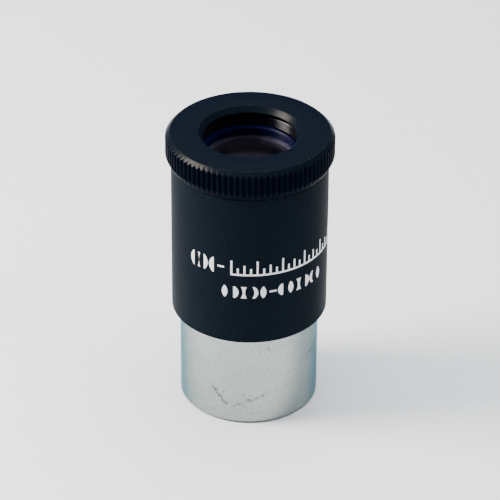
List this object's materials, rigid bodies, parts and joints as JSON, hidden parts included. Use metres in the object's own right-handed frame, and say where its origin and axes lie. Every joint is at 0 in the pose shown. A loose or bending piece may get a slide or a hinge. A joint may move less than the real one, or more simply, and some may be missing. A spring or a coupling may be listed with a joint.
{
  "type": "telescope eyepiece",
  "caption": "Orthoscopic telescope eyepiece: a short chromed barrel, a black cylindrical body with the lens cell inside, and a knurled screw-on eye cap.",
  "frame": {"origin": "centre of the barrel's open end, at the lowest point of the upright eyepiece", "axes": "+Z along the optical axis towards the observer's eye; +X towards one of the spanner slots"},
  "size_m": [0.038, 0.038, 0.0684],
  "materials": {
    "satin_chrome": "satin",
    "black_anodised": "satin",
    "matt_black": "matte",
    "spring_steel": "satin",
    "lens_glass": "polished",
    "flint_glass": "polished"
  },
  "bodies": {
    "barrel": {"barrel": "satin_chrome"},
    "baffle": {"barrel_baffle": "matt_black"},
    "body": {"body": "black_anodised", "lens_cell": "matt_black", "field_stop_carrier": "matt_black", "carrier_lock_nut": "matt_black", "field_stop": "matt_black", "stop_snap_ring": "spring_steel", "triplet_field_crown": "lens_glass", "triplet_flint": "flint_glass", "triplet_eye_crown": "lens_glass", "lens_spacer": "matt_black", "eye_lens": "lens_glass", "eye_lens_retainer": "matt_black"},
    "cap_washer": {"cap_washer": "matt_black"},
    "eye_cap": {"eye_cap": "black_anodised"}
  },
  "joints": [
    {"name": "body_lift", "type": "slide", "parent": "barrel", "child": "baffle", "axis": [0, 0, 1], "range_m": [0, 0.00301]},
    {"name": "body_turn", "type": "hinge", "parent": "baffle", "child": "body", "pos_m": [0, 0, 0.026], "axis": [0, 0, 1], "range_deg": [0, 1440]},
    {"name": "cap_lift", "type": "slide", "parent": "body", "child": "cap_washer", "axis": [0, 0, 1], "range_m": [0, 0.00301]},
    {"name": "cap_turn", "type": "hinge", "parent": "cap_washer", "child": "eye_cap", "pos_m": [0, 0, 0.063], "axis": [0, 0, 1], "range_deg": [0, 1440]}
  ],
  "couplings": [
    {"joint": "body_lift", "follows": "body_turn", "m_per_rad": 0.00011937},
    {"joint": "cap_lift", "follows": "cap_turn", "m_per_rad": 0.00011937}
  ]
}
